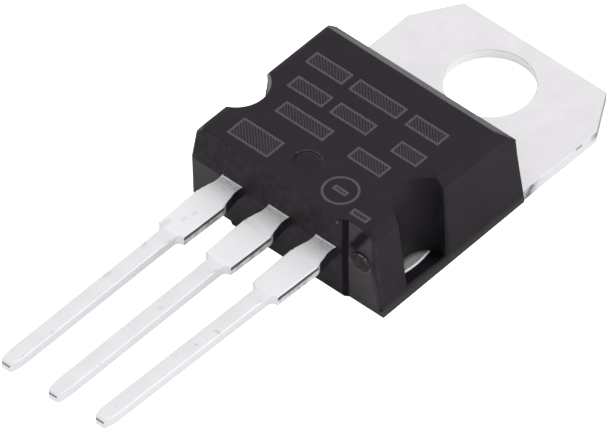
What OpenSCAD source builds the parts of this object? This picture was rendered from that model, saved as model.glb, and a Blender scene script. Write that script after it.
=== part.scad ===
// Three-lead voltage regulator in a moulded package with a mounting tab.
// It lies on its back. The origin is the centre of the mounting hole on the back of the tab.
// X runs across the tab, +Y towards the tab's free edge, the leads point to -Y,
// and +Z comes out of the marked front. All sizes are in millimetres.

/* [Heatsink tab] */
// Width of the tab
tab_w = 10.26; // [9.8:0.02:10.4]
// Thickness of the copper sheet at the tab and the header
tab_t = 0.55; // [0.5:0.01:0.6]
// Diameter of the mounting hole
hole_d = 3.81; // [3.5:0.01:4]
// From the centre of the hole to the free edge of the tab
hole_to_edge = 2.79; // [2.5:0.01:3.2]
// From the centre of the hole to the moulded body
hole_to_body = 3.74; // [3.2:0.01:4.2]
// Size of the tab's corner chamfers across the tab
corner_across = 1.24; // [0.4:0.02:2]
// Size of the tab's corner chamfers along the tab
corner_along = 2.02; // [0.6:0.02:2.6]

/* [Header inside the body] */
// Resin that wraps each long edge of the header
header_side_wall = 0.67; // [0.4:0.01:1]
// From the end of the header to the lead end of the body
header_setback = 1.95; // [1.85:0.01:2.4]
// Width of the centre lead where it rises from the header
riser_w = 1.6; // [1.3:0.02:2]
// Steepness of the rise from the header to the lead
riser_angle = 70; // [60:1:80]
// Inner radius of the two bends in the rise
riser_bend_r = 0.25; // [0.15:0.01:0.3]

/* [Moulded body] */
// How far the resin stands out past the tab on each side, at the body's widest
resin_overhang = 0.03; // [0.01:0.01:0.06]
// Length of the body from the tab end to the parting line at the lead end
body_l = 9; // [8.6:0.01:9.4]
// Height of the body from the back to the marked front
body_h = 4.48; // [4.3:0.01:4.8]
// Height of the parting line on the long sides
side_parting_z = 0.3; // [0.15:0.01:0.5]
// How far each long side falls back from its parting line to the front bevel
side_front_draft = 0.32; // [0.15:0.01:0.45]
// Bevel of the long front edges across the body
side_bevel_across = 0.31; // [0.15:0.01:0.4]
// Bevel of the long front edges down the side
side_bevel_down = 0.48; // [0.2:0.01:0.55]
// How far the tab end leans back from the tab to its bevel
tab_end_draft = 0.21; // [0.1:0.01:0.4]
// Size of the wide bevel over the tab end, along the body and down
tab_end_bevel = 0.96; // [0.6:0.01:1.1]
// Height of the parting line at the lead end
lead_end_parting_z = 2.7; // [2.62:0.01:2.8]
// How far the lead end falls back from its parting line to the front
lead_end_front_draft = 0.24; // [0.1:0.01:0.35]
// How far the lead end falls back from its parting line to the back
lead_end_back_draft = 0.31; // [0.1:0.01:0.4]
// Radius of the upright corners at the lead end
lead_end_corner_r = 0.22; // [0.1:0.01:0.3]
// Radius of the upright corners at the tab end
tab_end_corner_r = 0.06; // [0.03:0.01:0.2]
// Width of the raised face that the leads come out of
lead_face_w = 6.86; // [6.7:0.02:7.1]
// How far the raised face sits off the middle, towards the output lead
lead_face_offset = 0.2; // [0:0.01:0.25]
// How much narrower the raised face is at the front and the back
lead_face_draft = 0.4; // [0.1:0.02:0.5]
// How far the raised face stands out of the lead end
lead_face_proud = 0.12; // [0.04:0.01:0.15]
// Width of the slope down each side of the raised face
lead_face_slope = 0.18; // [0.06:0.01:0.2]

/* [Marks of the mould] */
// Radius of the side notches at the back end of their taper
notch_low_r = 1.16; // [0.9:0.01:1.25]
// Radius of the side notches at the marked front
notch_high_r = 1.42; // [1.3:0.01:1.5]
// From the parting line at the lead end to the centre of the side notches
notch_from_end = 3.07; // [2.9:0.01:3.4]
// Diameter of the round ejector mark in the marked front
ejector_d = 1.16; // [0.8:0.02:1.4]
// Depth of the ejector mark
ejector_depth = 0.04; // [0.02:0.01:0.1]
// From the front edge at the lead end to the centre of the ejector mark
ejector_from_edge = 1.38; // [1:0.01:1.6]
// Width of the scar where the resin gate broke off
gate_w = 1.14; // [0.6:0.02:1.2]
// Height of the gate scar
gate_h = 0.94; // [0.5:0.02:1.1]
// How far the centre of the gate scar is above the parting line
gate_above = 0.12; // [0:0.01:0.3]
// How far the gate scar stands out of the lead end at the parting line
gate_proud = 0.05; // [0.02:0.01:0.1]
// From the middle plane of the body to the centre of the gate scar
gate_x = 4.33; // [4.3:0.01:4.34]
// Thickness of the resin skin on the lead edges beside the body
flash_t = 0.07; // [0.03:0.01:0.1]

/* [Leads] */
// Distance from each lead to the next
lead_pitch = 2.54; // [2.4:0.01:2.7]
// Thickness of the leads
lead_t = 0.48; // [0.4:0.01:0.52]
// Height of the underside of the leads over the back of the tab
lead_z = 2.46; // [2.4:0.01:2.6]
// Length of the leads from the body to their tips
lead_l = 13.66; // [10:0.02:16]
// Width of a lead where it leaves the body
root_w = 1.14; // [1.06:0.01:1.2]
// Width of a lead at its waist, beside the body
waist_w = 1.02; // [0.9:0.01:1.06]
// Width of a lead at the stub of the trimmed dam bar
dam_w = 1.5; // [1.4:0.01:1.6]
// From the body to the end of the dam bar's stub
dam_from_body = 1.4; // [1.2:0.01:1.6]
// How near the waist is to the body, where 1 puts it halfway to the dam bar
waist_place = 1.6; // [1:0.1:2.5]
// How late a lead flares out to the dam bar's stub, as the power of its curve
flare_power = 4; // [2:0.5:6]
// Width of a lead's broad part at its shoulder
shoulder_w = 1.38; // [1.3:0.01:1.4]
// From the body to the shoulder
shoulder_from_body = 3.78; // [3.2:0.01:4.4]
// Radius in the corner under the shoulder
shoulder_r = 0.24; // [0.1:0.01:0.26]
// Width of a lead's narrow part
lead_w = 0.77; // [0.68:0.01:0.82]
// Width of a lead at its tip
tip_w = 0.38; // [0.2:0.01:0.5]
// Length of the rounded point of a lead
tip_l = 0.9; // [0.5:0.01:1.4]
// Angle at which the output lead is bent up from its shoulder
output_bend = 1.6; // [0:0.1:3]

/* [Bond pads of the outer leads] */
// Width of the bond pad inside the body
pad_w = 2.1; // [1.6:0.02:2.2]
// Length of the bond pad
pad_l = 1.5; // [1:0.02:1.6]
// Length of the neck between the bond pad and the lead end of the body
neck_l = 0.6; // [0.5:0.01:0.75]

/* [Chip and bond wires] */
// Width of the silicon die
die_w = 2.5; // [1.6:0.02:3]
// Length of the silicon die
die_l = 2.1; // [1.6:0.02:2.6]
// Thickness of the silicon die
die_t = 0.3; // [0.2:0.01:0.4]
// From the end of the header to the centre of the die
die_from_header_end = 2.7; // [2.5:0.02:3.4]
// Thickness of the solder under the die
solder_t = 0.05; // [0.03:0.01:0.08]
// How far the solder reaches past each edge of the die
solder_margin = 0.15; // [0.05:0.01:0.3]
// Diameter of the aluminium bond wires
wire_d = 0.2; // [0.1:0.01:0.25]
// Length of the pressed foot at each end of a bond wire
stitch_l = 0.36; // [0.3:0.01:0.5]
// Width of the pressed foot
stitch_w = 0.3; // [0.28:0.01:0.4]
// From the edges of the die to the wire feet on it
stitch_inset = 0.35; // [0.25:0.01:0.5]
// From the end of a bond pad to the wire foot on it
pad_inset = 0.4; // [0.25:0.01:0.6]
// From the end of the header to the ground wire's foot on it
ground_inset = 0.75; // [0.6:0.01:0.9]
// Radius of a wire's loop for each unit of the straight distance that it spans
loop_ratio = 0.57; // [0.53:0.01:0.7]

/* [Hidden] */

$fn = 64;
hull_fn = 32;
arc_steps = 8;
skin = 0.01;
past = 1;
epoxy = [0.18, 0.17, 0.18];
tinned = [0.88, 0.88, 0.9];

body_w = tab_w + 2 * resin_overhang;
body_top_y = -hole_to_body;
body_end_y = body_top_y - body_l;
header_end_y = body_end_y + header_setback;
header_w = body_w - 2 * header_side_wall;
notch_y = body_end_y + notch_from_end;
die_y = header_end_y + die_from_header_end;
die_z = tab_t + solder_t;
die_top_z = die_z + die_t;
lead_top_z = lead_z + lead_t;
pad_end_y = body_end_y + neck_l + pad_l;

side_bevel_z = body_h - side_bevel_down;
tab_bevel_z = body_h - tab_end_bevel;
half_widths = [[side_parting_z, body_w / 2],
               [side_bevel_z, body_w / 2 - side_front_draft],
               [body_h, body_w / 2 - side_front_draft - side_bevel_across]];
tab_ends = [[0, body_top_y],
            [tab_t, body_top_y],
            [tab_bevel_z, body_top_y - tab_end_draft],
            [body_h, body_top_y - tab_end_draft - tab_end_bevel]];
lead_ends = [[0, body_end_y + lead_end_back_draft],
             [lead_end_parting_z, body_end_y],
             [body_h, body_end_y + lead_end_front_draft]];
lead_face_half_widths = [[0, (lead_face_w - lead_face_draft) / 2],
                         [lead_end_parting_z, lead_face_w / 2],
                         [body_h, (lead_face_w - lead_face_draft) / 2]];

function arc(centre, r, from, to) =
    [for (i = [0:arc_steps])
        let (a = from + (to - from) * i / arc_steps) centre + r * [cos(a), sin(a)]];

function mirrored(points) =
    [for (i = [len(points) - 1:-1:0]) [-points[i][0], points[i][1]]];

// One edge of a lead from the body to the stub of the dam bar, with y measured from the
// body: it draws in to a waist and then flares out
function root_edge(steps) =
    [for (i = [0:steps])
        let (u = i / arc_steps,
             sag = (root_w - waist_w) / 2 * sin(180 * min(1, waist_place * u)),
             flare = (dam_w - root_w) / 2 * pow(u, flare_power))
        [root_w / 2 - sag + flare, -dam_from_body * u]];

// The whole edge of a lead outside the body. The corner under the shoulder is an arc, and
// each side of the point is a quarter of an ellipse.
function lead_edge() = concat(
    root_edge(arc_steps),
    [[shoulder_w / 2, -shoulder_from_body]],
    arc([lead_w / 2 + shoulder_r, -shoulder_from_body - shoulder_r], shoulder_r, 90, 180),
    [for (i = [0:arc_steps])
        let (a = 90 * i / arc_steps)
        [tip_w / 2 + (lead_w - tip_w) / 2 * cos(a), -lead_l + tip_l * (1 - sin(a))]]);

// The plan of one lead: a broad part inside the body, a neck, and the lead outside
module lead_plan(inner_w, inner_from, inner_to) {
    edge = concat([[inner_w / 2, inner_to], [inner_w / 2, inner_from],
                   [root_w / 2, inner_from]], lead_edge());
    translate([0, body_end_y]) polygon(concat(edge, mirrored(edge)));
}

// A side profile drawn in Y and Z, cut across the whole width given
module across(width) {
    rotate([90, 0, 90])
        translate([0, 0, -width / 2])
            linear_extrude(width) children();
}

module tab_plan() {
    half = tab_w / 2;
    polygon([[-half, body_top_y], [-half, hole_to_edge - corner_along],
             [-half + corner_across, hole_to_edge], [half - corner_across, hole_to_edge],
             [half, hole_to_edge - corner_along], [half, body_top_y],
             [header_w / 2, body_top_y], [header_w / 2, header_end_y],
             [-header_w / 2, header_end_y], [-header_w / 2, body_top_y]]);
}

// The centre lead seen from the side: it leaves the header, bends up, climbs to the
// height of the other leads and bends level again before it leaves the body.
module riser_profile() {
    outer_r = riser_bend_r + lead_t;
    both_r = riser_bend_r + outer_r;
    climb = lead_z - both_r * (1 - cos(riser_angle));
    low = [header_end_y, outer_r];
    high = [header_end_y - both_r * sin(riser_angle) - climb / tan(riser_angle),
            lead_z - riser_bend_r];
    tip_y = body_end_y - lead_l;
    polygon(concat(
        [[header_end_y + lead_t, 0]],
        arc(low, outer_r, -90, -90 - riser_angle),
        arc(high, riser_bend_r, 90 - riser_angle, 90),
        [[tip_y, lead_z], [tip_y, lead_top_z]],
        arc(high, outer_r, 90, 90 - riser_angle),
        arc(low, riser_bend_r, -90 - riser_angle, -90),
        [[header_end_y + lead_t, lead_t]]));
}

module centre_lead() {
    intersection() {
        across(dam_w + riser_w) riser_profile();
        linear_extrude(body_h)
            lead_plan(riser_w, neck_l / 2, header_setback + lead_t + past);
    }
}

// One stamped and formed piece: the tab with its hole, the header that the resin holds,
// and the centre lead.
module heatsink_tab() {
    color(tinned) {
        difference() {
            linear_extrude(tab_t) tab_plan();
            translate([0, 0, -past]) cylinder(d = hole_d, h = tab_t + 2 * past);
        }
        centre_lead();
    }
}

// The side profile of an outer lead, bent up by the angle given from its shoulder
module outer_lead_profile(bend) {
    knee_y = body_end_y - shoulder_from_body;
    rise = (lead_l - shoulder_from_body) * tan(bend);
    tip_y = body_end_y - lead_l;
    polygon([[pad_end_y, lead_z], [knee_y, lead_z], [tip_y, lead_z + rise],
             [tip_y, lead_top_z + rise], [knee_y, lead_top_z], [pad_end_y, lead_top_z]]);
}

module outer_lead(bend) {
    intersection() {
        across(pad_w + dam_w) outer_lead_profile(bend);
        linear_extrude(body_h) lead_plan(pad_w, neck_l, neck_l + pad_l);
    }
}

module input_lead() {
    color(tinned) translate([-lead_pitch, 0, 0]) outer_lead(0);
}

module output_lead() {
    color(tinned) translate([lead_pitch, 0, 0]) outer_lead(output_bend);
}

module silicon_die() {
    color([0.35, 0.36, 0.42])
        translate([-die_w / 2, die_y - die_l / 2, die_z]) cube([die_w, die_l, die_t]);
}

module die_attach_solder() {
    reach = 2 * solder_margin;
    color([0.6, 0.6, 0.62])
        translate([-(die_w + reach) / 2, die_y - (die_l + reach) / 2, tab_t])
            cube([die_w + reach, die_l + reach, solder_t]);
}

// A wire's pressed foot at the point given, turned towards the direction of its wire
module stitch(at, direction) {
    translate(at) rotate([0, 0, direction])
        translate([-stitch_l / 2, -stitch_w / 2, 0]) cube([stitch_l, stitch_w, wire_d]);
}

// A round wire in one loop between two feet: an arc in the upright plane through them
module wire_loop(from, to) {
    run = norm([to[0] - from[0], to[1] - from[1]]);
    direction = atan2(to[1] - from[1], to[0] - from[0]);
    rise = to[2] - from[2];
    span = norm([run, rise]);
    slope = atan2(rise, run);
    r = loop_ratio * span;
    half_angle = asin(span / (2 * r));
    drop = r * cos(half_angle);
    translate(from) rotate([0, 0, direction])
        translate([run / 2 + drop * sin(slope), 0, rise / 2 - drop * cos(slope) + wire_d / 2])
            rotate([90, 0, 0]) rotate([0, 0, slope + 90 - half_angle])
                rotate_extrude(angle = 2 * half_angle)
                    translate([r, 0]) circle(d = wire_d, $fn = hull_fn);
    stitch(from, direction);
    stitch(to, direction);
}

// Where the feet of the outer leads' wires sit, on the side given by its sign
function die_stitch(side) =
    [side * (die_w / 2 - stitch_inset), die_y - die_l / 2 + stitch_inset, die_top_z];
function pad_stitch(side) = [side * lead_pitch, pad_end_y - pad_inset, lead_top_z];

module input_bond_wire() {
    color("lightgray") wire_loop(die_stitch(-1), pad_stitch(-1));
}

module output_bond_wire() {
    color("lightgray") wire_loop(die_stitch(1), pad_stitch(1));
}

module ground_bond_wire() {
    color("lightgray")
        wire_loop([0, die_y - die_l / 2 + stitch_inset, die_top_z],
                  [0, header_end_y + ground_inset, tab_t]);
}

// One rounded corner of the body on each side, at a height and a place along the body
module corner_pair(z, y, r) {
    half = lookup(z, half_widths);
    translate([0, 0, min(z, body_h) - skin])
        linear_extrude(skin)
            for (x = [-half + r, half - r]) translate([x, y]) circle(r, $fn = hull_fn);
}

// The body above its parting line on the long sides: drafted sides, bevelled front edges
// and rounded upright corners
module body_front() {
    hull()
        for (z = [side_parting_z, tab_t, lead_end_parting_z, tab_bevel_z, side_bevel_z,
                  body_h]) {
            corner_pair(z, lookup(z, lead_ends) + lead_end_corner_r, lead_end_corner_r);
            corner_pair(z, lookup(z, tab_ends) - tab_end_corner_r, tab_end_corner_r);
        }
}

// The square-cornered slab of resin behind that parting line, which frames the header
module body_back() {
    across(body_w)
        polygon([[body_top_y, 0], [lookup(0, lead_ends), 0],
                 [lookup(side_parting_z, lead_ends), side_parting_z],
                 [body_top_y, side_parting_z]]);
}

// The raised face that the leads come out of, sloped down at its two ends
module lead_face() {
    hull()
        for (z = [0, lead_end_parting_z, body_h]) {
            half = lookup(z, lead_face_half_widths);
            y = lookup(z, lead_ends);
            translate([lead_face_offset, y, min(z, body_h - skin)])
                linear_extrude(skin)
                    polygon([[-half, lead_end_corner_r], [-half, 0],
                             [-half + lead_face_slope, -lead_face_proud],
                             [half - lead_face_slope, -lead_face_proud],
                             [half, 0], [half, lead_end_corner_r]]);
        }
}

// What the broken gate left on the lead end, across the parting line: a lens between two
// arcs
module gate_scar() {
    r = (gate_w * gate_w + gate_h * gate_h) / (4 * gate_h);
    translate([gate_x, body_end_y + lead_end_corner_r, lead_end_parting_z + gate_above])
        rotate([90, 0, 0])
            linear_extrude(lead_end_corner_r + gate_proud)
                intersection() {
                    translate([0, r - gate_h / 2]) circle(r);
                    translate([0, gate_h / 2 - r]) circle(r);
                }
}

// The skin of resin that ran along a lead's edges, almost as far as the dam bar
module lead_flash() {
    edge = concat([[root_w / 2 + flash_t, lead_end_corner_r]],
                  [for (p = root_edge(arc_steps - 1)) p + [flash_t, 0]]);
    translate([0, body_end_y, lead_z])
        linear_extrude(lead_t) polygon(concat(edge, mirrored(edge)));
}

// A tapered notch in a long side, left by the mould pin that held the header down
module side_notch() {
    translate([body_w / 2, notch_y, tab_t])
        cylinder(r1 = notch_low_r,
                 r2 = notch_high_r + (notch_high_r - notch_low_r) * past / (body_h - tab_t),
                 h = body_h - tab_t + past);
}

module moulded_body() {
    color(epoxy)
        difference() {
            union() {
                body_front();
                body_back();
                lead_face();
                gate_scar();
                for (x = [-lead_pitch, 0, lead_pitch]) translate([x, 0, 0]) lead_flash();
            }
            side_notch();
            mirror([1, 0, 0]) side_notch();
            translate([0, body_end_y + lead_end_front_draft + ejector_from_edge,
                       body_h - ejector_depth])
                cylinder(d = ejector_d, h = past);
            heatsink_tab();
            input_lead();
            output_lead();
            silicon_die();
            die_attach_solder();
            input_bond_wire();
            output_bond_wire();
            ground_bond_wire();
        }
}

moulded_body();
heatsink_tab();
input_lead();
output_lead();
silicon_die();
die_attach_solder();
input_bond_wire();
output_bond_wire();
ground_bond_wire();
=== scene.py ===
"""A three-lead voltage regulator in a moulded package, lying on the back of its metal tab.

Lengths are given in millimetres and turned into metres where Blender needs them. X runs across
the tab, the leads point to -Y, and +Z comes out of the marked front.
"""

import math

import bmesh
import bpy
from mathutils import Matrix, Vector
from mathutils.bvhtree import BVHTree


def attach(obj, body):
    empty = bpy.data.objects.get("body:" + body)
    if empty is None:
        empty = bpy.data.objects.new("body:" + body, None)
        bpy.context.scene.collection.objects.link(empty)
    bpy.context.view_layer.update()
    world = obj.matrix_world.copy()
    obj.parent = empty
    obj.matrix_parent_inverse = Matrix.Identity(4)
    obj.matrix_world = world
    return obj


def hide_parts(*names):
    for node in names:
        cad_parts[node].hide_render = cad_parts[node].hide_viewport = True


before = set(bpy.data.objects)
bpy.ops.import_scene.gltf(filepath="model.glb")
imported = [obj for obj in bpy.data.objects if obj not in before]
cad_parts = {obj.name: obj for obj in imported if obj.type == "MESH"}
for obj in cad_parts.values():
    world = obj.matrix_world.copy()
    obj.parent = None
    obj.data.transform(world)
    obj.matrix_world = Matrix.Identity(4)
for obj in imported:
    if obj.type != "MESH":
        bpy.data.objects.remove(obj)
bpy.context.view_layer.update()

MM = 0.001

# The moulded body: black mould resin, shot in one go round the header, the leads and the chip.
# Its faces are satin from the eroded mould, its edges are a little rounded, and two tapered
# notches in the long sides show where pins held the header down.
TAB_END_Y, BODY_END_Y = -3.74, -12.74
BODY_TOP_Z = 4.48
PARTING_Z = 2.7
LEAD_X = (-2.54, 0.0, 2.54)
LEAD_TOP_Z = 2.94
NOTCH_X, NOTCH_Y = 5.16, -9.67
NOTCH_FLOOR_Z = 0.55
NOTCH_LOW_R, NOTCH_HIGH_R = 1.16, 1.42
HEADER_X = 4.49
EJECTOR_Y = -11.12
# The mark of the gate is a lens between two arcs.
GATE_X, GATE_Z = 4.33, 2.82
GATE_ARC_R = 0.581
GATE_ARC_OFFSET = 0.111
# The raised face that the leads leave narrows by its draft, away from the parting line.
LEAD_FACE_MIDDLE_X = 0.2
LEAD_FACE_DRAFT = 0.09
# Wear, and what the mould left: how far each place lies off the clean shape.
NOTCH_FLOOR_DROP = 0.08
LIP_AT_TAB, LIP_AT_LEADS = 0.02, 0.11
TAB_EDGE_SHIFT = 0.035
LEFT_MOUTH_Y, LEFT_MOUTH_SHIFT = -8.33, 0.22
WORN_CORNER = (0.13, 0.1, 0)
SKIN_IN, SKIN_DOWN = 0.06, 0.16


class Shade:
    """A socket of a finish's nodes. Sums and products of sockets add the nodes they need."""

    def __init__(self, tree, socket):
        self.tree = tree
        self.socket = socket

    def node(self, kind, settings, inputs, output=0):
        """Adds a node: its settings are made first, and then its inputs are set or linked."""
        made = self.tree.nodes.new("ShaderNode" + kind)
        for setting, value in settings.items():
            setattr(made, setting, value)
        for key, value in inputs.items():
            if isinstance(value, Shade):
                self.tree.links.new(value.socket, made.inputs[key])
            else:
                made.inputs[key].default_value = value
        return Shade(self.tree, made.outputs[output])

    def maths(self, operation, *values):
        return self.node("Math", {"operation": operation}, dict(enumerate(values)))

    def __add__(self, other):
        return self.maths("ADD", self, other)

    def __sub__(self, other):
        return self.maths("SUBTRACT", self, other)

    def __rsub__(self, other):
        return self.maths("SUBTRACT", other, self)

    def __mul__(self, other):
        return self.maths("MULTIPLY", self, other)

    def __gt__(self, other):
        return self.maths("GREATER_THAN", self, other)

    def __lt__(self, other):
        return self.maths("LESS_THAN", self, other)

    def __abs__(self):
        return self.maths("ABSOLUTE", self)

    __radd__ = __add__
    __rmul__ = __mul__

    def sine(self):
        return self.maths("SINE", self)

    def root(self):
        return self.maths("SQRT", self)

    def least(self, other):
        return self.maths("MINIMUM", self, other)

    def most(self, other):
        return self.maths("MAXIMUM", self, other)

    def parts(self):
        """The X, Y and Z of a vector."""
        first = self.node("SeparateXYZ", {}, {0: self})
        return [Shade(self.tree, s) for s in first.socket.node.outputs]

    def rise(self, low, high):
        """0 below low, 1 above high and a smooth step between."""
        return self.node("MapRange", {"interpolation_type": "SMOOTHSTEP"},
                         {"Value": self, "From Min": low, "From Max": high})

    def between(self, low, high, soft):
        """1 from low to high, falling to 0 over the soft width outside."""
        return self.rise(low - soft, low) * (1 - self.rise(high, high + soft))

    def grain(self, scale, detail=2.0, roughness=0.5, stretch=(1, 1, 1)):
        """Noise from 0 to 1 at this place, with its scale in waves for each millimetre."""
        stretched = self.node("VectorMath", {"operation": "MULTIPLY"}, {0: self, 1: stretch})
        return self.node("TexNoise", {}, {"Vector": stretched, "Scale": scale,
                                          "Detail": detail, "Roughness": roughness})

    def mix(self, low, high):
        """A colour that goes from low to high as this value goes from 0 to 1."""
        return self.node("Mix", {"data_type": "RGBA"}, {0: self, 6: low, 7: high}, 2)

    def bump(self, distance, strength):
        """The normal of a surface that this height, from 0 to 1, raises by the distance in mm."""
        return self.node("Bump", {}, {"Height": self, "Distance": distance * MM,
                                      "Strength": strength})


def squares(a, b):
    """The square of the length of a step of a along one axis and b along another."""
    return a * a + b * b


def new_finish(name, constants):
    """A material with these constants on its shader, its place in mm and the way it faces."""
    material = bpy.data.materials.new(name)
    material.use_nodes = True
    shader = material.node_tree.nodes["Principled BSDF"]
    for key, value in constants.items():
        shader.inputs[key].default_value = value
    start = Shade(material.node_tree, None)
    metres = start.node("TexCoord", {}, {}, "Object")
    place = start.node("VectorMath", {"operation": "SCALE"}, {0: metres, "Scale": 1 / MM})
    facing = start.node("TexCoord", {}, {}, "Normal")
    return material, place, facing


def dress(material, **inputs):
    """Links values to the shader's inputs, whose names have _ where the socket has a space."""
    shader = material.node_tree.nodes["Principled BSDF"]
    for key, value in inputs.items():
        material.node_tree.links.new(value.socket, shader.inputs[key.replace("_", " ")])


def surface_tree(*nodes):
    """The faces of CAD nodes, to find which faces of another piece lie on them."""
    points, faces = [], []
    for n in nodes:
        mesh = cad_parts[n].data
        first = len(points)
        points += [v.co for v in mesh.vertices]
        faces += [[first + i for i in p.vertices] for p in mesh.polygons]
    return BVHTree.FromPolygons(points, faces)


def rounded_copy(node, name, edge_width, hidden_by, cuts, shape, true_normal=None):
    """A copy of a CAD node with clean flat faces and rounded edges.

    edge_width gives the rounding in mm, 0 where the edge stays sharp, from a place in mm and
    whether one of the nodes in hidden_by covers a face there. cuts are planes, (axis, place in
    mm), that divide the large faces. shape changes the mesh before the edges are rounded.
    true_normal gives the way a curved face really points.
    """
    widest = 0.16
    touching = 0.002
    weld = 0.0005
    sharp_angle = math.radians(24)
    flat_angle = math.radians(0.6)
    same_way = math.cos(math.radians(35))
    bm = bmesh.new()
    bm.from_mesh(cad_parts[node].data)
    bmesh.ops.remove_doubles(bm, verts=bm.verts, dist=weld * MM)
    for axis, level in cuts:
        cut = bmesh.ops.bisect_plane(
            bm, geom=bm.verts[:] + bm.edges[:] + bm.faces[:], dist=1e-7,
            plane_co=[level * MM if i == axis else 0 for i in range(3)],
            plane_no=[float(i == axis) for i in range(3)])
        for part in cut["geom_cut"]:
            if isinstance(part, bmesh.types.BMEdge):
                part.seam = True
    bmesh.ops.dissolve_limit(bm, angle_limit=flat_angle, verts=bm.verts, edges=bm.edges,
                             delimit={"SEAM"})
    cover = surface_tree(*hidden_by)
    is_hidden = bm.faces.layers.int.new("hidden")
    for face in bm.faces:
        near = cover.find_nearest(face.calc_center_median())[3]
        face[is_hidden] = int(near < touching * MM)
    shape(bm)
    weights = bm.edges.layers.float.new("bevel_weight_edge")
    for edge in bm.edges:
        if len(edge.link_faces) != 2 or edge.calc_face_angle() < sharp_angle:
            continue
        covered = any(f[is_hidden] for f in edge.link_faces)
        middle = (edge.verts[0].co + edge.verts[1].co) / (2 * MM)
        edge[weights] = edge_width(middle, covered) / widest
        edge.smooth = edge[weights] > 0
    mesh = bpy.data.meshes.new(name)
    bm.to_mesh(mesh)
    bm.free()
    mesh.shade_smooth()
    piece = bpy.data.objects.new(name, mesh)
    bpy.context.scene.collection.objects.link(piece)
    bevel = piece.modifiers.new("rounded edges", "BEVEL")
    bevel.limit_method = "WEIGHT"
    bevel.width = widest * MM
    bevel.segments = 3
    bevel.use_clamp_overlap = False
    bevel.loop_slide = False
    shading = piece.modifiers.new("flat faces stay flat", "WEIGHTED_NORMAL")
    shading.weight = 90
    shading.keep_sharp = True
    solid = piece.evaluated_get(bpy.context.evaluated_depsgraph_get())
    piece.data = bpy.data.meshes.new_from_object(solid)
    piece.modifiers.clear()
    if true_normal:
        mesh = piece.data
        normals = [n.vector.copy() for n in mesh.corner_normals]
        for loop in mesh.loops:
            wanted = true_normal(mesh.vertices[loop.vertex_index].co / MM)
            if wanted and wanted.dot(normals[loop.index]) > same_way:
                normals[loop.index] = wanted
        mesh.normals_split_custom_set(normals)
    return piece


def at_notch(p, reach):
    """The notch's side, -1 or 1, if the place is within that reach of its axis."""
    sign = math.copysign(1, p.x)
    if math.hypot(p.x - sign * NOTCH_X, p.y - NOTCH_Y) < reach:
        return sign
    return 0


def resin_edge(p, covered):
    """How round the resin's edges are: softest at the lip of a notch, a little round along the
    front and down the notches, and crisp elsewhere."""
    if covered or p.z < 0.02:
        return 0
    if at_notch(p, 1.3) and p.z < NOTCH_FLOOR_Z + 0.02:
        return 0.1 if abs(p.x) > 5.12 else 0
    if p.z > 3.4 and math.hypot(p.x, p.y - EJECTOR_Y) > 0.7 and p.y > BODY_END_Y + 0.2:
        return 0.05
    if at_notch(p, 1.5) and abs(p.x) > 4.7:
        return 0.04
    return 0


def wear_resin(bm):
    """What the mould and wear did to the clean shape.

    The floor of each notch sinks a little below the header. A lip of resin runs out along the
    foot of the long sides, most at the leads. The front's edge at the tab and the mouth of the
    left notch lie a little nearer the tab. The lower left corner is rubbed, and the skin on the
    left of each lead falls away.
    """
    for v in bm.verts:
        p = v.co / MM
        if at_notch(p, NOTCH_LOW_R + 0.02) and abs(p.z - NOTCH_FLOOR_Z) < 0.005:
            if abs(p.x) > HEADER_X - 0.005:
                v.co.z -= NOTCH_FLOOR_DROP * MM
        if abs(p.x) > 5.15 and p.z < 0.01:
            towards_leads = (TAB_END_Y - p.y) / (TAB_END_Y - BODY_END_Y)
            lip = LIP_AT_TAB + (LIP_AT_LEADS - LIP_AT_TAB) * towards_leads
            v.co.x += math.copysign(lip, p.x) * MM
        if p.y > TAB_END_Y - 1.2 and p.z > 3.5:
            v.co.y += TAB_EDGE_SHIFT * MM
        if -5.05 < p.x < -4.7 and abs(p.y - LEFT_MOUTH_Y) < 0.12 and p.z > 2.5:
            v.co.y += LEFT_MOUTH_SHIFT * MM
        if p.x < -5.13 and p.y < BODY_END_Y + 0.35 and p.z < 0.31:
            v.co += Vector(WORN_CORNER) * MM
        if p.y < BODY_END_Y - 0.13 and abs(p.z - LEAD_TOP_Z) < 0.01:
            for lead_x in LEAD_X:
                if -1 < p.x - lead_x < -0.4:
                    v.co.x += SKIN_IN * MM
                    v.co.z -= SKIN_DOWN * MM


def notch_wall(p):
    """The way the tapered wall of a notch points at this place, if the place is on it."""
    slope = (NOTCH_HIGH_R - NOTCH_LOW_R) / (BODY_TOP_Z - NOTCH_FLOOR_Z)
    radius = NOTCH_LOW_R + slope * (p.z - NOTCH_FLOOR_Z)
    sign = math.copysign(1, p.x)
    away = Vector((p.x - sign * NOTCH_X, p.y - NOTCH_Y, 0))
    if abs(away.length - radius) > 0.004 or p.z < NOTCH_FLOOR_Z - 0.1:
        return None
    return Vector((-away.x / away.length, -away.y / away.length, slope)).normalized()


# The marking is a set of plain laser-burnt bars and a ring. A bar is (centre X, centre Y, half
# length, half height).
MARKS = ((-2.85, -6.6, 1.0, 0.38), (-0.2, -6.6, 1.3, 0.38), (2.45, -6.6, 0.9, 0.38),
         (-2.55, -8.1, 0.95, 0.38), (-0.2, -8.1, 1.0, 0.38), (2.8, -8.1, 0.7, 0.38),
         (-1.6, -9.5, 1.3, 0.38), (1.9, -9.5, 0.9, 0.38),
         (-2.45, -11.5, 1.1, 0.55), (3.65, -12.0, 0.45, 0.18), (2.11, -11.46, 0.36, 0.14))
RING_X, RING_Y, RING_R = 2.11, -11.46, 0.75
LINE_HALF, RING_LINE_HALF, LINE_SOFT = 0.05, 0.055, 0.02
HATCH_WAVES, HATCH_STRENGTH = 38.0, 0.45

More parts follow.
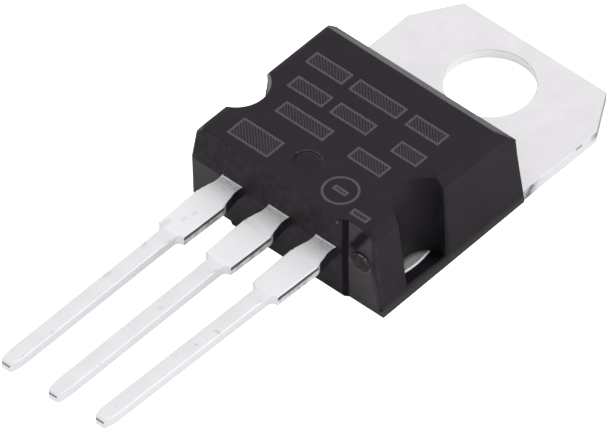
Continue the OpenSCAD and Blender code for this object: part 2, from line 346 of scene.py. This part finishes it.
# The resin's colours.
RESIN_TONES = ((0.0080, 0.0060, 0.0086, 1), (0.0135, 0.0108, 0.0142, 1))
# Painted shade, darkest towards the back of the notches.
NOTCH_SHADE = (0.0005, 0.0004, 0.0006, 1)
# Painted shade on the floor of the ejector's pocket.
POCKET_SHADE = (0.003, 0.002, 0.003, 1)
# Rubbed wear, and painted light and painted highlights.
RUBBED_AND_LIT_RESIN = (0.34, 0.315, 0.345, 1)
# Painted shade on the right slope of the raised face and on a patch of the end.
PAINTED_SHADE_RESIN = (0.001, 0.0005, 0.002, 1)
BROKEN_RESIN = (0.004, 0.003, 0.002, 1)
# Painted highlights along the rim of the gate's scar.
SCAR_EDGE_HIGHLIGHT = (0.42, 0.40, 0.39, 1)
BURNT_RESIN = (0.125, 0.12, 0.128, 1)

resin, place, facing = new_finish("mould_resin", {
    "Specular IOR Level": 0.24, "Specular Tint": (1.0, 0.88, 1.03, 1)})
x, y, z = place.parts()
across, along, up = facing.parts()
cloud = place.grain(0.9, 3)
blot = place.grain(2.2, 3, 0.65)
ragged = place.grain(7, 3, 0.7).rise(0.4, 0.62)
grit = place.grain(16, 3, 0.6)
fine = place.grain(34, 2, 0.6)
streaks = place.grain(11, 2, 0.6, (1, 1, 0.15))
on_front = z > BODY_TOP_Z - 0.01
on_end = (y < BODY_END_Y + 0.45) * (up < 0.5)

# The burnt marks: lines with a ragged edge round each bar and along the ring, and a hatching.
bars = None
for centre_x, centre_y, half_l, half_h in MARKS:
    past_edge = (abs(x - centre_x) - half_l).most(abs(y - centre_y) - half_h)
    bars = past_edge if bars is None else bars.least(past_edge)
bars = bars + 0.09 * (grit - 0.5)
ring = abs(squares(x - RING_X, y - RING_Y).root() - RING_R) - RING_LINE_HALF
lines = (abs(bars + LINE_HALF) - LINE_HALF).least(ring + 0.06 * (grit - 0.5))
hatching = ((x + y) * HATCH_WAVES).sine().rise(-0.6, 0.5) * HATCH_STRENGTH
burnt = (1 - lines.rise(-LINE_SOFT, LINE_SOFT)).most(
    (1 - bars.rise(-LINE_SOFT, LINE_SOFT)) * hatching)
burnt = burnt * on_front * (0.55 + 0.45 * fine.rise(0.35, 0.6))

# The scar of the gate, proud of the end: broken resin inside, with painted highlights along its
# lower and upper rim, broken up by noise.
proud = y < BODY_END_Y - 0.01
from_gate_x = x - GATE_X
from_low_arc = z - GATE_Z - GATE_ARC_OFFSET
from_high_arc = z - GATE_Z + GATE_ARC_OFFSET
low_r = squares(from_gate_x, from_low_arc).root()
high_r = squares(from_gate_x, from_high_arc).root()
in_scar = (1 - low_r.rise(GATE_ARC_R - 0.04, GATE_ARC_R)) * (
    1 - high_r.rise(GATE_ARC_R - 0.04, GATE_ARC_R)) * proud
# Painted highlights: a pale arc along the lower rim and a pale piece of the upper rim, broken up
# by noise.
scar_rim = (1 - abs(low_r - GATE_ARC_R).rise(0.01, 0.06)) * (1 - from_low_arc.rise(-0.2, 0.05))
upper_scar_edge = (1 - abs(high_r - GATE_ARC_R).rise(0.02, 0.08)) * from_high_arc.rise(0.3, 0.4)
upper_scar_edge = upper_scar_edge * x.between(4.3, 4.62, 0.08) * fine.rise(0.35, 0.6)
scar_edge_highlights = (scar_rim * grit.rise(0.25, 0.6) * 0.3).most(upper_scar_edge * ragged) * proud

# The lead end: the slopes of the raised face, the ground beside it, its corners, a dark patch of
# painted shade and two specks.
below = PARTING_Z - z
narrowed = LEAD_FACE_DRAFT * abs(below)
# Painted shade: the right slope is painted dark, and the left slope is kept out of the pale
# paint.
right_slope = (x + narrowed).between(3.44, 3.61, 0.07) * on_end
left_slope = (2 * LEAD_FACE_MIDDLE_X + narrowed - x).between(3.44, 3.62, 0.03) * on_end
# Painted light: the ground right of the raised face and the facet on the left under the parting
# line are painted paler, as if lit from the front.
right_ground = (x + narrowed).rise(3.62, 3.70) * (1 - across.rise(0.2, 0.95)) * on_end
left_ground = (1 - x.rise(-3.3, -3.0)) * below.rise(-0.02, 0.03) * on_end
# Painted highlights down the rounded upright corners of the end.
left_corner = (1 - across.rise(-0.5, -0.1)) * below.rise(-1.2, 0.4) * on_end
right_corner = across.between(0.5, 0.8, 0.1) * z.between(0.9, 2.3, 0.2) * on_end
# Painted shade: a dark patch on the end above the gate.
shade_patch_height = z - 3.83
shade_patch = (1 - abs(x - 4.13 - 0.55 * shade_patch_height).rise(0.08, 0.34)) * (
    1 - abs(shade_patch_height).rise(0.35, 0.8)) * on_end
specks = (squares(x + 3.08, z - 3.59).least(squares(x - 3.0, z - 4.16)) < 0.005) * on_end

# The notches, the round pocket of the ejector with its rim, and the lip along the foot.
in_notch = (squares(abs(x) - NOTCH_X, y - NOTCH_Y) < 2.02) * (z < BODY_TOP_Z - 0.01) * (
    abs(along) + abs(up) > 0.02)
near_front = z > 4
from_ejector = squares(x, y - EJECTOR_Y)
in_pocket = (from_ejector < 0.36) * near_front
# Painted highlight on the far side of the pocket's rim.
pocket_rim_highlight = near_front * from_ejector.between(0.25, 0.42, 0.05) * (
    y - 0.3 * x).rise(EJECTOR_Y + 0.1, EJECTOR_Y + 0.4)
# Painted light: the lip along the foot is painted paler, as if it caught light from above.
on_lip = (1 - z.rise(0.1, 0.5)) * abs(across).rise(0.6, 0.8)

# How pale each place is: rubbed wear, blotches and specks, and painted light and painted
# highlights.
pale = 1.15 * right_ground * (0.7 + 0.5 * blot)
for rubbed in (
        0.95 * left_ground,
        2.0 * left_corner,
        0.5 * right_corner,
        0.25 * on_end * blot.rise(0.4, 0.6),
        2.5 * specks,
        # Painted light: the notch walls paler towards their mouth.
        0.25 * in_notch * z.rise(3.0, 4.4) * (1 - y.rise(NOTCH_Y - 0.3, NOTCH_Y + 0.8)),
        # Painted reflection: a pale streaked band on the wall of the left notch, where its
        # polished pin mark would mirror light.
        5.5 * in_notch * (x < 0) * y.rise(NOTCH_Y + 0.5, NOTCH_Y + 0.8) * z.rise(2.6, 3.4)
        * (0.5 + streaks),
        # Painted light on the lip along the foot.
        1.1 * on_lip * (0.6 + 0.6 * grit),
        # Painted highlight along the upper left edge.
        2.5 * (0 - across).rise(0.1, 0.7) * (up > 0.3) * (z > 4.2) * (x < -4),
        1.2 * in_pocket * fine.rise(0.56, 0.66),
        3.0 * pocket_rim_highlight * fine.rise(0.5, 0.62),
        0.5 * (0 - x).rise(4.3, 4.52) * on_front):
    pale = pale.most(rubbed)
# Painted shade: the patch and the slopes are kept out of the pale paint.
pale = pale * (1 - 0.9 * shade_patch) * (1 - right_slope) * (1 - 0.7 * left_slope)

colour = (0.6 * cloud + 0.4 * grit).rise(0.3, 0.75).mix(*RESIN_TONES)
for amount, tone in (
        # Painted shade deep in the notches and on the floor of the ejector's pocket.
        (in_notch * y.rise(NOTCH_Y, NOTCH_Y + 1.1), NOTCH_SHADE),
        (0.7 * in_pocket, POCKET_SHADE),
        (0.1 * pale, RUBBED_AND_LIT_RESIN),
        (right_slope.most(shade_patch * 0.9), PAINTED_SHADE_RESIN),
        (in_scar * (0.35 + 0.6 * ragged), BROKEN_RESIN),
        (0.85 * burnt, BURNT_RESIN),
        (scar_edge_highlights, SCAR_EDGE_HIGHLIGHT)):
    colour = amount.mix(colour, tone)
upper_edge = (along > 0.5) * (up > 0.5) * (1 - abs(x).rise(3.9, 5.0))
dress(resin,
      Base_Color=colour,
      Roughness=0.38 + 0.12 * grit + 0.25 * burnt + 0.12 * abs(across).most(abs(along))
      + 0.3 * right_slope.most(shade_patch) + 0.12 * left_slope - 0.12 * upper_edge,
      Normal=(grit + 0.5 * burnt + 1.5 * in_scar * fine).bump(0.006, 0.5))

body = rounded_copy("moulded_body", "resin_body", resin_edge,
                    ["heatsink_tab", "input_lead", "output_lead", "silicon_die",
                     "die_attach_solder", "input_bond_wire", "output_bond_wire",
                     "ground_bond_wire"],
                    [(0, level) for level in (-3.81, -1.27, -0.8, 0.8, 1.27, 3.67)]
                    + [(1, level) for level in (EJECTOR_Y - 0.8, EJECTOR_Y + 0.8,
                                                NOTCH_Y + 1.6, -6.2)]
                    + [(2, PARTING_Z)],
                    wear_resin, notch_wall)
body.data.materials.clear()
body.data.materials.append(resin)
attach(body, "root")
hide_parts("moulded_body")

# The tab, the header in the resin and the centre lead: one piece of copper, stamped and bent,
# then coated with matte tin, and the two outer leads, which were stamped with it. The tin is
# brightest on the rolled faces and greyer where the tool sheared the edges.
TAB_HALF_W = 5.13
HOLE_R, BREAK_OUT = 1.905, 0.085
HEADER_SWELL, SWELL_REACH = 0.12, 0.9
STUB_Y, SHOULDER_Y = -14.14, -16.52
TIP_Y = -26.4
OUTPUT_RISE = 0.276
# Smudges on the leads: (X, Y, radius).
RUBS = ((-2.80, -17.84, 0.10), (-2.80, -20.1, 0.14), (-2.56, -15.72, 0.09), (-2.46, -15.2, 0.10),
        (-2.98, -16.4, 0.17), (0.1, -20.04, 0.09))

# The metal's colours.
ROLLED_TIN = ((0.88, 0.86, 0.885, 1), (0.93, 0.91, 0.935, 1))
SHEARED_TIN = ((0.84, 0.83, 0.86, 1), (0.93, 0.92, 0.94, 1))
# Painted light on the broad parts of the leads.
TIN_PAINTED_LIGHT = (0.98, 0.965, 0.985, 1)
HOLE_WALL = (1.0, 0.99, 1.0, 1)
PIT = (0.35, 0.34, 0.36, 1)
DULL_TIN = (0.38, 0.37, 0.39, 1)
SCUFFED_TIN = (0.3, 0.29, 0.3, 1)
# A dark band under the stubs' upper edge.
STUB_DARK_BAND = (0.06, 0.055, 0.06, 1)
NIPPED_METAL = (0.08, 0.08, 0.085, 1)
# The header darker towards the notch walls.
NOTCH_RING_DARK = (0.05, 0.045, 0.05, 1)
EDGE_SHADE = (0.1, 0.1, 0.1, 1)
SMUDGE = (0.1, 0.1, 0.11, 1)
# Painted shade on the side of the tab's cut corner, and a darker side and a nick.
TAB_SIDE_DARK = (0.10, 0.095, 0.105, 1)
RESIN_BLEED = (0.035, 0.032, 0.036, 1)

tin, place, facing = new_finish("matte_tin", {"Metallic": 1.0})
x, y, z = place.parts()
across, along, up = facing.parts()
cloud = place.grain(1.1, 2)
blot = place.grain(2.6, 3, 0.6)
grit = place.grain(14, 3, 0.6)
fine = place.grain(30, 2, 0.6)
rolled = place.grain(5, 3, 0.6, (1, 0.08, 1))
drawn = place.grain(9, 2, 0.6, (0.35, 1.6, 1)).rise(0.52, 0.62)
side = 1 - abs(up).rise(0.35, 0.75)
flat = up > 0.8
on_rounding = abs(up).between(0.3, 0.93, 0.04)
on_tab = y > TAB_END_Y

# The rolled faces, with pits in them, and the sheared sides.
pits = place.grain(3.4, 1).rise(0.72, 0.76) * fine.rise(0.4, 0.6)
broad = y.between(SHOULDER_Y, BODY_END_Y + 0.1, 0.2) * flat
face = (0.6 * cloud + 0.4 * grit).rise(0.3, 0.75).mix(*ROLLED_TIN)
face = (pits * 0.5 * (1 - 0.7 * on_tab)).mix(face, PIT)
# Painted light: the tops of the broad parts are painted paler.
face = (0.8 * broad).mix(face, TIN_PAINTED_LIGHT)
cut = grit.mix(*SHEARED_TIN)
cut = (squares(x, y) + 0.6 * z < 4.2).mix(cut, HOLE_WALL)

# The stubs of the bar that joined the leads, with a dark band under their upper edge, and the
# nipped tips.
on_stub = y.between(SHOULDER_Y + 0.02, STUB_Y, 0.03) * side * (abs(along) < 0.6)
stub_band = z.between(LEAD_TOP_Z - 0.17, LEAD_TOP_Z - 0.05, 0.03) * on_stub
tip_z = z - OUTPUT_RISE * (x > LEAD_X[2] / 2)
nip = (y < TIP_Y + 0.1) * (along < -0.8) * tip_z.between(
    LEAD_TOP_Z - 0.18, LEAD_TOP_Z - 0.10, 0.03)

# The leads' roots: scuffs, and a burr where the resin begins.
near_root = y.rise(BODY_END_Y - 1.1, BODY_END_Y - 0.1) * flat * (y < BODY_END_Y + 0.1)
burr = y.rise(BODY_END_Y - 0.165, BODY_END_Y - 0.125) * flat * (0.3 + 0.8 * grit)

# The header darker towards the walls of the notches, and what bled along the tab's sides.
from_notch = squares(abs(x) - NOTCH_X, y - NOTCH_Y)
notch_ring = from_notch.rise(0.75, 1.35) * (from_notch < 2) * flat * (0.7 + 0.3 * blot)
on_tab_side = on_tab * (abs(x) > TAB_HALF_W - 0.03)
reach = y - 0.5 * z + 0.9 * (grit - 0.5)
bleed = (1 - reach.rise(-3.5, -2.9)).least(0.35).most(reach.between(-3.62, -3.42, 0.16))
bleed = bleed * (0.45 + 0.55 * fine.rise(0.4, 0.55)) * on_tab_side

# The darker parts of the tab's sides: painted shade on the side of its cut corner, the side next
# to it and a nick.
dark_tab_side = (abs(x) > 3.7) * (y > 0.75) * side * (across > 0.2) * z.rise(0.25, 0.35)
dark_tab_side = dark_tab_side.most(on_tab_side * y.rise(0.25, 0.8) * z.rise(0.15, 0.4) * (0.4 + fine))
dark_tab_side = dark_tab_side.most(on_tab_side * y.between(-0.45, -0.2, 0.12) * z.between(0.47, 0.52, 0.03))

smudges = []
for rub_x, rub_y, rub_r in RUBS:
    from_rub = (x - rub_x) * (x - rub_x) + 0.3 * (y - rub_y) * (y - rub_y)
    rub = (1 - from_rub.rise(0, 1.6 * rub_r * rub_r)) * (0.2 + 1.2 * fine)
    smudges.append((rub * flat * 0.15, SMUDGE))

colour = side.mix(face, cut)
for amount, tone in (
        (on_stub * blot.rise(0.42, 0.62) * 0.55, DULL_TIN),
        (stub_band * (0.75 + 0.25 * fine), STUB_DARK_BAND),
        (nip * 0.8, NIPPED_METAL),
        (notch_ring * 0.85, NOTCH_RING_DARK),
        (on_rounding * on_tab * 0.12, EDGE_SHADE),
        (on_rounding * (y < BODY_END_Y) * 0.07, EDGE_SHADE),
        *smudges,
        (near_root * drawn * 0.35, SCUFFED_TIN),
        (dark_tab_side * (0.5 + 0.3 * blot), TAB_SIDE_DARK),
        (bleed * 0.9, RESIN_BLEED)):
    colour = amount.mix(colour, tone)
dress(tin,
      Base_Color=colour,
      Roughness=0.52 + 0.10 * grit + 0.08 * side,
      Normal=(0.45 * rolled + 0.55 * grit + 0.8 * on_stub * blot + 6 * burr).bump(0.008, 0.5))


def metal_edge(p, covered):
    """Rounded upper edges, finer lower ones, and the header's bare edge in the notches. The
    upright corners of the tips stay sharp, as the cutter left them."""
    if -0.01 < abs(p.x) - HEADER_X < 0.13 and abs(p.z - NOTCH_FLOOR_Z) < 0.01:
        return 0.09
    if covered:
        return 0
    if abs(p.y - SHOULDER_Y) < 0.3:
        return 0.03
    if p.y < TIP_Y + 0.45 and abs(p.z - OUTPUT_RISE * (p.x > LEAD_X[2] / 2) - PARTING_Z) < 0.1:
        return 0
    if p.y < BODY_END_Y:
        return 0.085 if p.z > 2.8 else 0.04
    return 0.06 if p.z > 0.3 else 0.03


def wear_metal(bm):
    """Swells the header's upper edge a little where the notches leave it bare, and breaks the
    hole out a little wider at the back, where the punch came through."""
    for v in bm.verts:
        p = v.co / MM
        if p.z < 0.01 and abs(math.hypot(p.x, p.y) - HOLE_R) < 0.01:
            v.co.xy *= 1 + BREAK_OUT / HOLE_R
        off_middle = abs(p.y - NOTCH_Y) / SWELL_REACH
        if abs(abs(p.x) - HEADER_X) < 0.01 and abs(p.z - NOTCH_FLOOR_Z) < 0.01 and off_middle < 1:
            v.co.x += math.copysign(HEADER_SWELL * (1 - off_middle ** 2), p.x) * MM


for node, name in (("heatsink_tab", "tinned_tab"), ("input_lead", "tinned_input_lead"),
                   ("output_lead", "tinned_output_lead")):
    metal_piece = rounded_copy(node, name, metal_edge, ["moulded_body"],
                               [(1, BODY_END_Y - 0.2 - 0.7 * i) for i in range(20)]
                               + [(1, NOTCH_Y + 0.15 * i) for i in range(-6, 7)], wear_metal)
    metal_piece.data.materials.clear()
    metal_piece.data.materials.append(tin)
    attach(metal_piece, "root")
    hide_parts(node)

# The chip on its solder, and the three bond wires. The resin hides them all: silicon with a
# mottled metal layer, dull solder, and drawn aluminium wire.


def grey(value, warmth=0.0):
    """A near-neutral colour, warmer above 0 and colder below."""
    return (value * (1 + warmth), value, value * (1 - warmth), 1)


for node, name, low, high, metallic, rough in (
        ("silicon_die", "silicon", grey(0.05, -0.2), grey(0.2, -0.2), 0.6, 0.2),
        ("die_attach_solder", "solder", grey(0.35), grey(0.5), 1.0, 0.5),
        ("input_bond_wire", "wire_in", grey(0.7), grey(0.85), 1.0, 0.3),
        ("output_bond_wire", "wire_out", grey(0.7), grey(0.85), 1.0, 0.3),
        ("ground_bond_wire", "wire_ground", grey(0.7), grey(0.85), 1.0, 0.3)):
    finish, place, facing = new_finish(name, {"Metallic": metallic})
    mottle = place.grain(9, 3)
    dress(finish, Base_Color=mottle.rise(0.35, 0.65).mix(low, high),
          Roughness=rough + 0.15 * mottle)
    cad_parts[node].data.materials.clear()
    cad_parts[node].data.materials.append(finish)

# The plain pale floor that the part lies on: a white light table, so that hardly any shadow
# shows.
FLOOR_HALF = 1500.0
FLOOR_DROP = 0.01
FLOOR_GLOW = 0.93

bm = bmesh.new()
bmesh.ops.create_grid(bm, x_segments=1, y_segments=1, size=FLOOR_HALF * MM)
bmesh.ops.translate(bm, verts=bm.verts, vec=(0, 0, -FLOOR_DROP * MM))
mesh = bpy.data.meshes.new("floor")
bm.to_mesh(mesh)
bm.free()
floor = bpy.data.objects.new("floor", mesh)
bpy.context.scene.collection.objects.link(floor)
white, place, facing = new_finish("white_floor", {
    "Base Color": grey(0.95), "Roughness": 0.9, "Specular IOR Level": 0.1})
matt = Shade(white.node_tree, white.node_tree.nodes["Principled BSDF"].outputs[0])
seen = place.node("LightPath", {}, {}, "Is Camera Ray")
glow = place.node("Emission", {}, {"Color": grey(1.0), "Strength": FLOOR_GLOW})
lit = place.node("AddShader", {}, {0: glow, 1: matt})
shown = place.node("MixShader", {}, {0: seen, 1: matt, 2: lit})
white.node_tree.links.new(shown.socket, white.node_tree.nodes["Material Output"].inputs[0])
floor.data.materials.append(white)

# Soft studio light: an even pale room, and a wide soft box on the right, beyond the part.
ROOM_STRENGTH = 0.9
BOX_AZIMUTH, BOX_ELEVATION, BOX_DISTANCE, BOX_SIZE = 128, 32, 600, 300
BOX_RADIANCE = 2.2

world = bpy.data.worlds.new("studio")
bpy.context.scene.world = world
world.use_nodes = True
world.node_tree.nodes["Background"].inputs["Color"].default_value = grey(1.0)
world.node_tree.nodes["Background"].inputs["Strength"].default_value = ROOM_STRENGTH


def towards(azimuth, elevation):
    """The direction of a place seen from the part, with azimuth 0 in front of the leads."""
    az, el = math.radians(azimuth), math.radians(elevation)
    return Vector((math.sin(az) * math.cos(el), -math.cos(az) * math.cos(el), math.sin(el)))


lamp = bpy.data.lights.new("right_box", "AREA")
lamp.size = BOX_SIZE * MM
lamp.energy = BOX_RADIANCE * math.pi * (BOX_SIZE * MM) ** 2
box = bpy.data.objects.new("right_box", lamp)
direction = towards(BOX_AZIMUTH, BOX_ELEVATION)
box.location = (Vector((0, -10, 0)) + direction * BOX_DISTANCE) * MM
box.rotation_euler = direction.to_track_quat("Z", "Y").to_euler()
bpy.context.scene.collection.objects.link(box)

# The camera, where the photograph was taken from: far away with a long lens.
AZIMUTH, ELEVATION, ROLL = 42.256, 45.671, -0.536
TARGET = Vector((-0.978, -10.267, 0))
DISTANCE = 790.34
LENS_MM, SENSOR_MM = 1154.605, 36

back = towards(AZIMUTH, ELEVATION)
right = Vector((math.cos(math.radians(AZIMUTH)), math.sin(math.radians(AZIMUTH)), 0))
upward = back.cross(right)
roll = math.radians(ROLL)
camera_x = right * math.cos(roll) + upward * math.sin(roll)
camera_y = upward * math.cos(roll) - right * math.sin(roll)
lens = bpy.data.cameras.new("camera")
lens.sensor_width = SENSOR_MM
lens.lens = LENS_MM
lens.clip_start = 0.01
lens.clip_end = 10
camera = bpy.data.objects.new("camera", lens)
turn = Matrix((camera_x, camera_y, back)).transposed().to_4x4()
camera.matrix_world = Matrix.Translation((TARGET + back * DISTANCE) * MM) @ turn
bpy.context.scene.collection.objects.link(camera)
bpy.context.scene.camera = camera
bpy.context.scene.view_settings.view_transform = "Standard"
